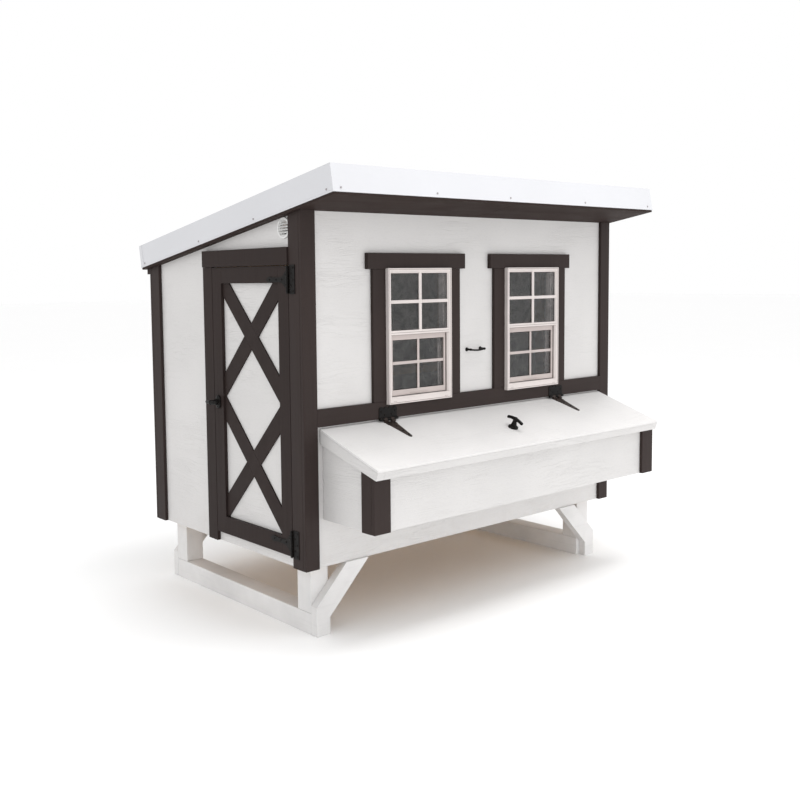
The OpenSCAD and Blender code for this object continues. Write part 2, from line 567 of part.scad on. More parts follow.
module hinge_pins() color(black) place() {
  for (z = dh_z) {
    cyl_z(door_ax, door_ay, z - dh_h / 2 - 1, z + dh_h / 2 + 1, 2.5);
    cyl_z(door_ax, door_ay, z - dh_h / 2 - 3, z - dh_h / 2, 4.2);
    cyl_z(door_ax, door_ay, z + dh_h / 2, z + dh_h / 2 + 3, 4.2);
  }
  for (x = lid_hx) {
    cyl_x(x - 51, x + 51, lid_ay, lid_az, 2.5);
    cyl_x(x - 53, x - 50, lid_ay, lid_az, 4.2);
    cyl_x(x + 50, x + 53, lid_ay, lid_az, 4.2);
  }
  for (y = pop_hy) {
    cyl_y(pop_ax, y - 31, y + 31, pop_az, 2);
    cyl_y(pop_ax, y - 32.5, y - 30, pop_az, 3.6);
    cyl_y(pop_ax, y + 30, y + 32.5, pop_az, 3.6);
  }
}

// ---------------------------------------------------------------- roof
rx0 = roof_x0 + 2; rx1 = roof_x1 - 2;
u0 = -roof_front + 2; u1 = roof_back - 2;
deck_w = roof_top - 21;
module roof_halves() { children(); translate([2 * roof_mid, 0, 0]) mirror([1, 0, 0]) children(); }
module roof_soffit() color(brown) place() in_roof() roof_halves()
  box([rx0, u0, 0], [roof_mid - 0.6, u1, 10]);
module roof_rafters() color(brown) place() in_roof() roof_halves() {
  xb = roof_mid - 0.6;
  bd([rx0, u0, 10], [xb, u0 + bat, deck_w]);
  bd([rx0, u1 - bat, 10], [xb, u1, deck_w]);
  for (x = [rx0, (rx0 + xb - bat) / 2, xb - bat]) bd([x, u0 + bat, 10], [x + bat, u1 - bat, deck_w]);
}
module roof_decking() color(ply) place() in_roof() roof_halves()
  box([rx0, u0, deck_w], [roof_mid - 0.6, u1, deck_w + 9]);
ribs = 9;
rib_p = (rx1 - rx0 - 80) / (ribs - 1);
sheet_z = deck_w + 9;
function rib_path(t) = concat([[rx0, sheet_z + t]],
  [for (i = [0:ribs - 1]) for (p = [[-16, 0], [-8, 8], [8, 8], [16, 0]]) [rx0 + 40 + i * rib_p + p[0], sheet_z + p[1] + t]],
  [[rx1, sheet_z + t]]);
module roof_sheet() color(metal_white) place() in_roof()
  along_y(u0, u1, concat(rib_path(0), [for (i = [len(rib_path(0)) - 1:-1:0]) rib_path(0.8)[i]]));
module roof_fascia() color(metal_white) place() in_roof() {
  f0 = fascia_lift;
  along_x(roof_x0, roof_x1, [[-roof_front, f0], [u0, f0], [u0, roof_top - 2], [u0 + 38, roof_top - 2], [u0 + 38, roof_top], [-roof_front, roof_top]]);
  along_x(roof_x0, roof_x1, [[roof_back, f0], [u1, f0], [u1, roof_top - 2], [u1 - 38, roof_top - 2], [u1 - 38, roof_top], [roof_back, roof_top]]);
  for (s = [0, 1]) translate([s * wall_l, 0, 0]) mirror([s, 0, 0]) {
    box([roof_x0, u0 + hair, f0], [rx0, u1 - hair, roof_top - 2.2]);
    box([roof_x0, u0 + 38 + hair, roof_top - 2.3], [rx0 + 38, u1 - 38 - hair, roof_top]);
  }
}
module fascia_screws() color(metal_white) place() in_roof() {
  for (f = [0, 0.255, 0.48, 0.745, 1]) {
    x = roof_x0 + 38 + f * (roof_x1 - roof_x0 - 76);
    cyl_y(x, -roof_front - 2, -roof_front, fascia_lift + 12, 4);
    cyl_y(x, roof_back, roof_back + 2, fascia_lift + 12, 4);
  }
  for (s = [0, 1]) translate([s * wall_l, 0, 0]) mirror([s, 0, 0])
    for (f = [0, 0.34, 0.645, 1]) cyl_x(roof_x0 - 2, roof_x0, -roof_front + 38 + f * (roof_back + roof_front - 76), fascia_lift + 12, 4);
}

// ---------------------------------------------------------------- fittings
module vent() {
  difference() { cylinder(r = 41.5, h = 7); translate([0, 0, -1]) cylinder(r = 34, h = 9); }
  difference() { translate([0, 0, -9]) cylinder(r = 29.6, h = 10); translate([0, 0, -10]) cylinder(r = 28, h = 12); }
  difference() { cylinder(r = 34.5, h = 1.2); translate([0, 0, -1]) cylinder(r = 28.5, h = 3); }
  intersection() {
    cylinder(r = 34.5, h = 7);
    for (i = [-2.5:1:2.5]) translate([i * 11.5, 0, 3.4]) rotate([0, 38, 0]) cube([10, 80, 1.6], center = true);
  }
}
module gable_vents() color(white) place() {
  translate([0, vent_y, vent_z]) rotate([0, -90, 0]) vent();
  translate([wall_l, vent_y, vent_z]) rotate([0, 90, 0]) mirror([1, 0, 0]) vent();
}
module wall_handle() color(black) place() {
  for (x = [921, 1009]) {
    cyl_y(x, -3, 0, 834, 9);
    cyl_y(x, -31, -2, 834, 5);
  }
  cyl_x(914, 1016, -26.5, 834, 4);
}
module roosts() color(pine) place() {
  for (x = [side_t + bat, wall_l - side_t - bat - 19]) box([x, 712, 560], [x + 19, 1095, 649]);
  for (y = [740, 1010]) difference() {
    bd([side_t + bat, y, 649], [wall_l - side_t - bat, y + 38, 687]);
    for (s = [0, 1]) translate([0, y + s * 38, 687]) rotate([45, 0, 0]) cube([5000, 10, 10], center = true);
  }
}

leg_runners();
leg_posts();
leg_braces();
floor_frame();
floor_panel();
wall_front();
wall_back();
wall_left();
wall_right();
frame_front();
frame_back();
frame_left();
frame_right();
corner_trims();
belt_trim();
window_trims();
frieze_board();
door_casing();
pop_door_casing();
window_frame_left();
window_frame_right();
upper_glass();
door_hinge_plates();
lid_hinge_plates();
pop_hinge_plates();
hinge_pins();
nest_box();
nest_dividers();
nest_corner_trims();
lid_keeper();
roof_soffit();
roof_rafters();
roof_decking();
roof_sheet();
roof_fascia();
fascia_screws();
gable_vents();
wall_handle();
roosts();
door_panel();
door_frame();
door_braces();
door_hinge_straps();
door_latch_rose();
door_t_handle();
door_latch_cam();
lid_top();
lid_frame();
lid_hinge_straps();
lid_handle_rose();
lid_t_handle();
lid_latch_tongue();
sash_left();
sash_right();
sash_glass_left();
sash_glass_right();
pop_door_panel();
pop_door_frame();
pop_hinge_leaves();
pop_button();
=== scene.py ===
import bpy, bmesh, math, random
from mathutils import Vector, Matrix, Quaternion


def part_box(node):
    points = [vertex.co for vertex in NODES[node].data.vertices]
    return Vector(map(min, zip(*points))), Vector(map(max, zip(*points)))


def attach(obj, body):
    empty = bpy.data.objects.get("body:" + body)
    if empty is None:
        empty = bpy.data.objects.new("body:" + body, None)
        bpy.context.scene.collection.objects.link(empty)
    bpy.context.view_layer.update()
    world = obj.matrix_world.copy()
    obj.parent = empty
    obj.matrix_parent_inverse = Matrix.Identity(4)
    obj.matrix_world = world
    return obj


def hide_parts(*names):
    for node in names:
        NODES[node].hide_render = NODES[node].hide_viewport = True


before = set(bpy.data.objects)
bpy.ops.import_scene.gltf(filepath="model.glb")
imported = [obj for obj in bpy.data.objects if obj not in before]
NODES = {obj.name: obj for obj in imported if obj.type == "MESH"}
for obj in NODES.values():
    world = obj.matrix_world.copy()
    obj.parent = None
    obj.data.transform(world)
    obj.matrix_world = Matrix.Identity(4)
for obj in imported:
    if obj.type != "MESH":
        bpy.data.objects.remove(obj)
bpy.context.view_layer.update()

# ------------------------------------------------------------------ wall frame (mm) -> row frame (m)
_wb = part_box("wall_back")
OX = _wb[0][0] * 1000.0
OY = _wb[1][1] * 1000.0 - 1180.0
OZ = _wb[0][2] * 1000.0


def P(x, y, z):
    return Vector(((x + OX) / 1000.0, (y + OY) / 1000.0, (z + OZ) / 1000.0))


# ------------------------------------------------------------------ camera
def camera():
    az, el, roll = 0.6864, 0.0824, -0.0128
    fw = Vector((math.sin(az) * math.cos(el), math.cos(az) * math.cos(el), -math.sin(el)))
    right = Vector((math.cos(az), -math.sin(az), 0.0))
    up = right.cross(fw)
    r = math.cos(roll) * right + math.sin(roll) * up
    u = -math.sin(roll) * right + math.cos(roll) * up
    cam = bpy.data.cameras.new("camera")
    cam.sensor_width = 36.0
    cam.lens = 975.585 * 36.0 / 800.0
    cam.shift_x = (400.0 - 343.031) / 800.0
    cam.shift_y = (358.503 - 400.0) / 800.0
    cam.clip_end = 200.0
    ob = bpy.data.objects.new("camera", cam)
    m = Matrix((r, u, -fw)).transposed().to_4x4()
    m.translation = P(-2290.6, -3039.5, 1162.0)
    ob.matrix_world = m
    bpy.context.collection.objects.link(ob)
    bpy.context.scene.camera = ob


camera()
bpy.context.scene.view_settings.view_transform = "Standard"


# ------------------------------------------------------------------ node helpers
class Mat:
    def __init__(self, name, base, rough, metallic=0.0, spec=0.5):
        self.m = bpy.data.materials.new(name)
        self.m.use_nodes = True
        self.t = self.m.node_tree
        self.b = next(n for n in self.t.nodes if n.type == "BSDF_PRINCIPLED")
        self.b.inputs["Base Color"].default_value = (*base, 1.0)
        self.b.inputs["Roughness"].default_value = rough
        self.b.inputs["Metallic"].default_value = metallic
        self.b.inputs["Specular IOR Level"].default_value = spec
        self._xyz = None

    def node(self, kind, **kw):
        n = self.t.nodes.new(kind)
        for k, v in kw.items():
            setattr(n, k, v)
        return n

    def link(self, a, b):
        self.t.links.new(a, b)

    def xyz(self):
        if self._xyz is None:
            tc = self.node("ShaderNodeTexCoord")
            s = self.node("ShaderNodeSeparateXYZ")
            self.link(tc.outputs["Object"], s.inputs[0])
            self._xyz = (s.outputs[0], s.outputs[1], s.outputs[2], tc.outputs["Object"])
        return self._xyz

    def math(self, op, a, b=None, c=None, clamp=False):
        n = self.node("ShaderNodeMath", operation=op, use_clamp=clamp)
        for i, v in enumerate((a, b, c)):
            if v is None:
                continue
            if isinstance(v, (int, float)):
                n.inputs[i].default_value = v
            else:
                self.link(v, n.inputs[i])
        return n.outputs[0]

    def vec(self, x, y, z=0.0):
        n = self.node("ShaderNodeCombineXYZ")
        for i, v in enumerate((x, y, z)):
            if isinstance(v, (int, float)):
                n.inputs[i].default_value = v
            else:
                self.link(v, n.inputs[i])
        return n.outputs[0]

    def noise(self, vec, scale=1.0, detail=4.0, rough=0.55, dist=0.0):
        n = self.node("ShaderNodeTexNoise")
        self.link(vec, n.inputs["Vector"])
        n.inputs["Scale"].default_value = scale
        n.inputs["Detail"].default_value = detail
        n.inputs["Roughness"].default_value = rough
        n.inputs["Distortion"].default_value = dist
        return n.outputs["Fac"]

    def ramp(self, fac, stops):
        n = self.node("ShaderNodeValToRGB")
        e = n.color_ramp.elements
        while len(e) < len(stops):
            e.new(0.5)
        for i, (p, c) in enumerate(stops):
            e[i].position = p
            e[i].color = (*c, 1.0) if len(c) == 3 else c
        self.link(fac, n.inputs[0])
        return n.outputs[0]

    def range(self, fac, a, b, c, d):
        n = self.node("ShaderNodeMapRange")
        for i, v in zip((1, 2, 3, 4), (a, b, c, d)):
            n.inputs[i].default_value = v
        self.link(fac, n.inputs[0])
        return n.outputs[0]

    def mixc(self, fac, a, b):
        n = self.node("ShaderNodeMix", data_type="RGBA")
        for key, v in (("Factor", fac), ("A", a), ("B", b)):
            i = {"Factor": 0, "A": 6, "B": 7}[key]
            if isinstance(v, (int, float)):
                n.inputs[i].default_value = v
            elif isinstance(v, tuple):
                n.inputs[i].default_value = (*v, 1.0)
            else:
                self.link(v, n.inputs[i])
        return n.outputs[2]

    def bump(self, height, strength, distance, prev=None):
        n = self.node("ShaderNodeBump")
        n.inputs["Strength"].default_value = strength
        n.inputs["Distance"].default_value = distance
        self.link(height, n.inputs["Height"])
        if prev is not None:
            self.link(prev, n.inputs["Normal"])
        return n.outputs[0]

    def color(self, s):
        self.link(s, self.b.inputs["Base Color"])

    def rough(self, s):
        self.link(s, self.b.inputs["Roughness"])

    def normal(self, s):
        self.link(s, self.b.inputs["Normal"])

    # distance from a sharp edge, 0 in the open to 1 at the edge
    def edge(self, radius):
        bev = self.node("ShaderNodeBevel", samples=4)
        bev.inputs["Radius"].default_value = radius
        geo = self.node("ShaderNodeNewGeometry")
        dot = self.node("ShaderNodeVectorMath", operation="DOT_PRODUCT")
        self.link(bev.outputs[0], dot.inputs[0])
        self.link(geo.outputs["Normal"], dot.inputs[1])
        return self.range(dot.outputs["Value"], 0.98, 0.80, 0.0, 1.0)


def siding(name, mode, base, dirt=True, deep=1.0):
    """Painted siding with an embossed cedar grain. mode: wall, lid."""
    m = Mat(name, base, 0.48, spec=0.35)
    x, y, z, obj = m.xyz()
    if mode == "wall":
        h = m.math("ADD", x, y)
        v = z
    else:
        h = x
        v = y
    # long wavering grain lines
    warp = m.noise(m.vec(m.math("MULTIPLY", h, 1.9), m.math("MULTIPLY", v, 6.5)), 1.0, 2.0, 0.5)
    vv = m.math("ADD", m.math("MULTIPLY", v, 38.0), m.math("MULTIPLY", warp, 4.2))
    lines = m.noise(m.vec(m.math("MULTIPLY", h, 1.3), vv), 1.0, 2.0, 0.5)
    saw = m.math("ABSOLUTE", m.math("SUBTRACT", m.math("FRACT", m.math("MULTIPLY", lines, 9.0)), 0.5))
    fine = m.noise(m.vec(m.math("MULTIPLY", h, 22.0), m.math("MULTIPLY", v, 380.0)), 1.0, 3.0, 0.6)
    broad = m.noise(m.vec(m.math("MULTIPLY", h, 9.0), m.math("MULTIPLY", v, 120.0)), 1.0, 3.0, 0.6)
    groove = m.range(saw, 0.0, 0.11, 1.0, 0.0)
    patch = m.range(m.noise(m.vec(m.math("MULTIPLY", h, 2.6), m.math("MULTIPLY", v, 5.0)), 1.0, 2.0, 0.5), 0.43, 0.60, 0.10, 1.0)
    g = m.math("MULTIPLY", groove, patch)
    height = m.math("SUBTRACT", m.math("ADD", m.math("MULTIPLY", broad, 0.42), m.math("MULTIPLY", fine, 0.22)), m.math("MULTIPLY", g, 0.55))
    nrm = m.bump(height, min(1.0, 0.55 * deep), 0.0020)
    peel = m.noise(obj, 900.0, 2.0, 0.5)
    nrm = m.bump(peel, 0.10, 0.0003, nrm)
    m.normal(nrm)
    tone = m.noise(obj, 1.7, 3.0, 0.6)
    c0 = tuple(c * 0.955 for c in base)
    c1 = tuple(min(1.0, c * 1.02) for c in base)
    col = m.mixc(m.range(tone, 0.35, 0.68, 0.0, 1.0), c0, c1)
    # the grooves of the embossed grain are darker in the colour: painted shade in the recesses
    col = m.mixc(m.math("MULTIPLY", g, 0.15 * deep), col, tuple(c * 0.62 for c in base))
    # small dull flecks where the paint sits thin on the embossed grain
    fleck = m.noise(m.vec(m.math("MULTIPLY", h, 55.0), m.math("MULTIPLY", v, 150.0)), 1.0, 3.0, 0.65)
    col = m.mixc(m.math("MULTIPLY", m.range(fleck, 0.52, 0.70, 0.0, 1.0), 0.10 * deep), col, tuple(c * 0.60 for c in base))
    if dirt:
        # faint splash-back dust near the foot of the walls
        low = m.range(z, (OZ + 0.0) / 1000.0, (OZ + 170.0) / 1000.0, 1.0, 0.0)
        spl = m.noise(obj, 34.0, 5.0, 0.7)
        f = m.math("MULTIPLY", m.math("MULTIPLY", low, m.range(spl, 0.45, 0.75, 0.0, 1.0)), 0.16)
        col = m.mixc(f, col, (0.52, 0.47, 0.40))
    m.color(col)
    m.rough(m.range(m.math("ADD", fine, tone), 0.7, 1.3, 0.40, 0.58))
    return m.m


def painted_board(name, base, axis, rough=0.5, spec=0.3, grain=0.22, wear=0.35, light=None):
    """Painted lumber or trim. axis: z, h (x or y), d (door diagonals)."""
    m = Mat(name, base, rough, spec=spec)
    x, y, z, obj = m.xyz()
    h = m.math("ADD", x, y)
    if axis == "z":
        vec = m.vec(m.math("MULTIPLY", h, 70.0), m.math("MULTIPLY", z, 3.2), m.math("MULTIPLY", m.math("SUBTRACT", x, y), 70.0))
        fin = m.vec(m.math("MULTIPLY", h, 520.0), m.math("MULTIPLY", z, 26.0), m.math("MULTIPLY", x, 500.0))
    elif axis == "h":
        vec = m.vec(m.math("MULTIPLY", h, 3.2), m.math("MULTIPLY", z, 70.0))
        fin = m.vec(m.math("MULTIPLY", h, 26.0), m.math("MULTIPLY", z, 520.0), m.math("MULTIPLY", m.math("SUBTRACT", x, y), 26.0))
    else:
        vec = m.vec(m.math("MULTIPLY", h, 24.0), m.math("MULTIPLY", z, 18.0))
        fin = m.vec(m.math("MULTIPLY", h, 240.0), m.math("MULTIPLY", z, 160.0))
    a = m.noise(vec, 1.0, 4.0, 0.6, 0.3)
    b = m.noise(fin, 1.0, 3.0, 0.6)
    height = m.math("ADD", m.math("MULTIPLY", a, 0.7), m.math("MULTIPLY", b, 0.3))
    nrm = m.bump(height, grain, 0.0012)
    peel = m.noise(obj, 700.0, 2.0, 0.5)
    m.normal(m.bump(peel, 0.12, 0.0003, nrm))
    tone = m.noise(obj, 3.1, 4.0, 0.6)
    col = m.mixc(m.range(tone, 0.3, 0.7, 0.0, 1.0), tuple(c * 0.90 for c in base), tuple(min(1, c * 1.10) for c in base))
    col = m.mixc(m.math("MULTIPLY", m.range(a, 0.55, 0.75, 0.0, 1.0), 0.16), col, tuple(c * 0.62 for c in base))
    if wear > 0:
        e = m.math("MULTIPLY", m.edge(0.0018), m.range(m.noise(obj, 60.0, 4.0, 0.7), 0.48, 0.72, 0.0, 1.0))
        lt = light or tuple(min(1, c * 1.9 + 0.02) for c in base)
        col = m.mixc(m.math("MULTIPLY", e, wear), col, lt)
    m.color(col)
    m.rough(m.range(m.math("ADD", a, tone), 0.7, 1.3, rough - 0.07, rough + 0.1))
    return m.m


def bare_wood(name, c_light, c_dark, axis="z"):
    m = Mat(name, c_light, 0.62, spec=0.3)
    x, y, z, obj = m.xyz()
    if axis == "z":
        vec = m.vec(m.math("MULTIPLY", x, 26.0), m.math("MULTIPLY", y, 26.0), m.math("MULTIPLY", z, 1.6))
    elif axis == "x":
        vec = m.vec(m.math("MULTIPLY", x, 1.6), m.math("MULTIPLY", y, 26.0), m.math("MULTIPLY", z, 26.0))
    else:
        vec = m.vec(m.math("MULTIPLY", x, 5.0), m.math("MULTIPLY", y, 5.0), m.math("MULTIPLY", z, 5.0))
    w = m.noise(vec, 1.6, 6.0, 0.65, 1.2)
    fib = m.noise(vec, 12.0, 3.0, 0.6)
    ring = m.math("FRACT", m.math("MULTIPLY", w, 7.0))
    f = m.math("ADD", m.math("MULTIPLY", ring, 0.6), m.math("MULTIPLY", fib, 0.4))
    m.color(m.ramp(f, [(0.15, c_light), (0.75, c_dark), (1.0, tuple(c * 0.8 for c in c_dark))]))
    m.normal(m.bump(f, 0.25, 0.0008))
    m.rough(m.range(fib, 0.3, 0.7, 0.55, 0.75))
    return m.m


def vinyl(name, base):
    m = Mat(name, base, 0.38, spec=0.45)
    x, y, z, obj = m.xyz()
    tone = m.noise(obj, 9.0, 3.0, 0.6)
    speck = m.noise(obj, 260.0, 2.0, 0.6)
    col = m.mixc(m.range(tone, 0.3, 0.7, 0.0, 1.0), tuple(c * 0.95 for c in base), tuple(min(1, c * 1.03) for c in base))
    col = m.mixc(m.math("MULTIPLY", m.range(speck, 0.62, 0.8, 0.0, 1.0), 0.12), col, tuple(c * 0.7 for c in base))
    m.color(col)
    m.normal(m.bump(m.noise(obj, 420.0, 2.0, 0.5), 0.06, 0.0004))
    m.rough(m.range(tone, 0.3, 0.7, 0.32, 0.46))
    return m.m


def black_iron(name, lo=(0.0020, 0.0016, 0.0015), hi=(0.0062, 0.0046, 0.0040), edge=(0.085, 0.058, 0.046), spec=0.16):
    m = Mat(name, lo, 0.42, metallic=0.0, spec=spec)
    x, y, z, obj = m.xyz()
    n = m.node("ShaderNodeTexVoronoi")
    n.inputs["Scale"].default_value = 170.0
    m.link(obj, n.inputs["Vector"])
    ham = n.outputs["Distance"]
    fin = m.noise(obj, 1100.0, 3.0, 0.6)
    nrm = m.bump(ham, 0.35, 0.0007)
    m.normal(m.bump(fin, 0.15, 0.0002, nrm))
    # lighter brown along the edges: painted highlight of grazing light
    e = m.math("MULTIPLY", m.edge(0.0012), m.range(m.noise(obj, 90.0, 4.0, 0.7), 0.42, 0.65, 0.0, 1.0))
    tone = m.noise(obj, 24.0, 3.0, 0.6)
    col = m.mixc(m.range(tone, 0.35, 0.7, 0.0, 1.0), lo, hi)
    col = m.mixc(m.math("MULTIPLY", e, 0.6), col, edge)
    m.color(col)
    m.rough(m.range(m.math("ADD", ham, fin), 0.4, 1.3, 0.28, 0.5))
    return m.m


def coated_steel(name, base):
    m = Mat(name, base, 0.36, spec=0.28)
    x, y, z, obj = m.xyz()
    tone = m.noise(obj, 1.3, 3.0, 0.55)
    can = m.noise(m.vec(m.math("MULTIPLY", x, 1.4), m.math("MULTIPLY", y, 2.6), m.math("MULTIPLY", z, 7.0)), 1.0, 2.0, 0.5)
    peel = m.noise(obj, 650.0, 2.0, 0.5)
    nrm = m.bump(can, 0.10, 0.006)
    m.normal(m.bump(peel, 0.08, 0.0003, nrm))
    col = m.mixc(m.range(tone, 0.3, 0.7, 0.0, 1.0), tuple(c * 0.965 for c in base), tuple(min(1, c * 1.015) for c in base))
    dust = m.range(m.noise(obj, 48.0, 5.0, 0.75), 0.55, 0.8, 0.0, 1.0)
    col = m.mixc(m.math("MULTIPLY", dust, 0.05), col, (0.55, 0.52, 0.48))
    m.color(col)
    m.rough(m.range(m.math("ADD", tone, peel), 0.7, 1.3, 0.30, 0.46))
    return m.m


def glass_mat(name):
    m = Mat(name, (0.80, 0.80, 0.80), 0.02, spec=0.5)
    m.b.inputs["Transmission Weight"].default_value = 1.0
    m.b.inputs["IOR"].default_value = 1.45
    x, y, z, obj = m.xyz()
    # the glass tint swings from grey to clear over blotches, vertical streaks and fine speckle: painted reflection
    reflection_blotch = m.noise(obj, 15.0, 6.0, 0.72, 0.6)
    speck = m.noise(obj, 420.0, 2.0, 0.6)
    reflection_streak = m.noise(m.vec(m.math("MULTIPLY", m.math("ADD", x, y), 26.0), m.math("MULTIPLY", z, 2.2)), 1.0, 3.0, 0.55)
    f = m.math("ADD", m.math("MULTIPLY", reflection_blotch, 0.58), m.math("ADD", m.math("MULTIPLY", reflection_streak, 0.14), m.math("MULTIPLY", speck, 0.28)))
    m.rough(m.range(f, 0.35, 0.7, 0.01, 0.12))
    m.color(m.ramp(f, [(0.38, (0.46, 0.455, 0.455)), (0.50, (0.77, 0.765, 0.765)), (0.62, (0.99, 0.98, 0.98))]))
    m.normal(m.bump(m.noise(obj, 2.2, 2.0, 0.5), 0.02, 0.004))
    return m.m


def rubber(name, base):
    m = Mat(name, base, 0.7, spec=0.3)
    x, y, z, obj = m.xyz()
    t = m.noise(obj, 300.0, 3.0, 0.6)
    m.color(m.mixc(t, tuple(c * 0.7 for c in base), tuple(c * 1.3 for c in base)))
    m.normal(m.bump(t, 0.2, 0.0003))
    return m.m


W = (0.668, 0.654, 0.646)
BR = (0.0335, 0.0235, 0.0215)
M = {
    "siding": siding("siding_paint", "wall", W),
    "siding_clean": siding("siding_paint_raised", "wall", (0.640, 0.627, 0.619), dirt=False, deep=1.15),
    # the lid's paint is a lighter copy of the siding paint: painted highlight of the light falling on its up-facing
    # top
    "lid": siding("lid_paint_lit", "lid", (0.725, 0.712, 0.704), dirt=False),
    "trim_v": painted_board("trim_paint_upright", BR, "z", spec=0.13),
    "trim_h": painted_board("trim_paint_level", BR, "h", spec=0.13),
    # paint for the door braces and the door's frame and casing: a darker copy of the trim paint with less sheen, as
    # painted shade of the left end wall
    "trim_d_shaded": painted_board("trim_paint_diagonal_shaded", tuple(c * 0.86 for c in BR), "d", spec=0.09),
    "trim_door_shaded": painted_board("trim_paint_door_shaded", tuple(c * 0.86 for c in BR), "z", spec=0.09),
    "soffit": painted_board("soffit_paint", (0.0375, 0.0265, 0.0238), "h", rough=0.6, wear=0.0, spec=0.04),
    "legs": painted_board("leg_paint", (0.735, 0.724, 0.718), "h", rough=0.55, grain=0.4, wear=0.5, light=(0.60, 0.50, 0.38)),
    "legs_v": painted_board("leg_paint_upright", (0.735, 0.724, 0.718), "z", rough=0.55, grain=0.4, wear=0.5, light=(0.60, 0.50, 0.38)),
    "pine_v": bare_wood("pine_upright", (0.66, 0.46, 0.26), (0.47, 0.29, 0.14), "z"),
    "pine_x": bare_wood("pine_long", (0.66, 0.46, 0.26), (0.47, 0.29, 0.14), "x"),
    "ply": bare_wood("plywood_face", (0.60, 0.43, 0.26), (0.45, 0.30, 0.17), "x"),
    "vinyl": vinyl("window_vinyl", (0.700, 0.640, 0.618)),
    # the sash vinyl is a darker copy of the window vinyl: painted shade of the recessed sashes
    "vinyl_sash_shaded": vinyl("sash_vinyl_shaded", (0.520, 0.455, 0.434)),
    # a darker copy of the window vinyl, painted shade
    "vinyl_shade_mark": vinyl("window_vinyl_shade_mark", (0.55, 0.495, 0.48)),
    # near-black vinyl for thin lines in the creases: painted shade
    "vinyl_crease_shade": vinyl("window_vinyl_crease_shade", (0.24, 0.20, 0.19)),
    "iron": black_iron("black_iron"),
    # a lighter, browner and glossier copy of the black iron for the lid straps: painted highlight of grazing light
    "iron_lit": black_iron("iron_lit_copy", (0.016, 0.010, 0.008), (0.042, 0.028, 0.023), (0.16, 0.11, 0.09), 0.4),
    "roof": coated_steel("roof_coated_steel", (0.655, 0.658, 0.682)),
    "vent": vinyl("vent_plastic", (0.74, 0.735, 0.725)),
    "glass": glass_mat("window_glass"),
    "rubber": rubber("dark_gasket", (0.02, 0.02, 0.02)),
    "mesh": rubber("insect_mesh", (0.05, 0.05, 0.052)),
    "zinc": coated_steel("zinc_plate", (0.42, 0.42, 0.43)),
    "screws": coated_steel("roof_screw_paint", (0.34, 0.315, 0.32)),
}

NODE_MAT = {
    "wall_front": "siding", "wall_back": "siding", "wall_left": "siding", "wall_right": "siding",
    "door_panel": "siding_clean", "nest_box": "siding_clean", "lid_top": "lid", "lid_frame": "siding_clean", "pop_door_panel": "siding_clean",
    "corner_trims": "trim_v", "belt_trim": "trim_h", "window_trims": "trim_v", "frieze_board": "trim_h", "door_casing": "trim_door_shaded",
    "pop_door_casing": "trim_v", "door_frame": "trim_door_shaded", "door_braces": "trim_d_shaded", "nest_corner_trims": "trim_v",
    "roof_soffit": "soffit", "roof_rafters": "soffit", "pop_door_frame": "trim_v",
    "leg_runners": "legs", "leg_posts": "legs_v", "leg_braces": "legs",
    "floor_frame": "pine_x", "frame_front": "pine_v", "frame_back": "pine_v", "frame_left": "pine_v", "frame_right": "pine_v", "roosts": "pine_x",
    "floor_panel": "ply", "nest_dividers": "ply", "roof_decking": "ply",
    "window_frame_left": "vinyl", "window_frame_right": "vinyl", "sash_left": "vinyl_sash_shaded", "sash_right": "vinyl_sash_shaded",
    "upper_glass": "glass", "sash_glass_left": "glass", "sash_glass_right": "glass",
    "roof_sheet": "roof", "roof_fascia": "roof", "fascia_screws": "screws", "gable_vents": "vent", "lid_hinge_straps": "iron_lit",
}
BEVEL = {"siding": 0.0, "siding_clean": 0.0012, "lid": 0.0022, "trim_v": 0.0018, "trim_h": 0.0018, "trim_d_shaded": 0.0014, "trim_door_shaded": 0.0018, "soffit": 0.0012,
         "legs": 0.005, "legs_v": 0.005, "pine_v": 0.003, "pine_x": 0.003, "ply": 0.001, "vinyl": 0.0011, "iron": 0.0007, "roof": 0.0}
BEVEL_NODE = {"door_frame": 0.0006, "door_casing": 0.0007, "door_braces": 0.0006, "leg_runners": 0.003, "leg_posts": 0.003, "leg_braces": 0.003}
BEVEL["iron_lit"] = 0.0006
BEVEL["vinyl_sash_shaded"] = 0.0011
for n, o in NODES.items():
    key = NODE_MAT.get(n, "iron")
    o.data.materials.clear()
    o.data.materials.append(M[key])
    w = BEVEL_NODE.get(n, BEVEL.get(key, 0.0))
    if n in ("fascia_screws", "hinge_pins"):
        w = 0.0
    if w > 0:
        wd = o.modifiers.new("weld", "WELD")
        wd.merge_threshold = 0.00002
        bv = o.modifiers.new("edge", "BEVEL")
        bv.width = w
        bv.segments = 2
        bv.limit_method = "ANGLE"
        bv.angle_limit = math.radians(35)
        bv.harden_normals = True
        bv.use_clamp_overlap = True


# ------------------------------------------------------------------ mesh helpers
def finish_piece(name, bm, mat, body, smooth=True, sharp=35.0):
    bmesh.ops.recalc_face_normals(bm, faces=bm.faces)
    me = bpy.data.meshes.new(name)
    if smooth:
        for f in bm.faces:
            f.smooth = True
        for e in bm.edges:
            if len(e.link_faces) == 2 and e.calc_face_angle(0.0) > math.radians(sharp):
                e.smooth = False
    bm.to_mesh(me)
    bm.free()
    ob = bpy.data.objects.new(name, me)
    ob.data.materials.append(M[mat])
    bpy.context.collection.objects.link(ob)
    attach(ob, body)
    return ob


def basis(n):
    n = Vector(n).normalized()
    a = Vector((0, 0, 1)) if abs(n.z) < 0.9 else Vector((1, 0, 0))
    u = a.cross(n).normalized()
    v = n.cross(u)
    return u, v, n


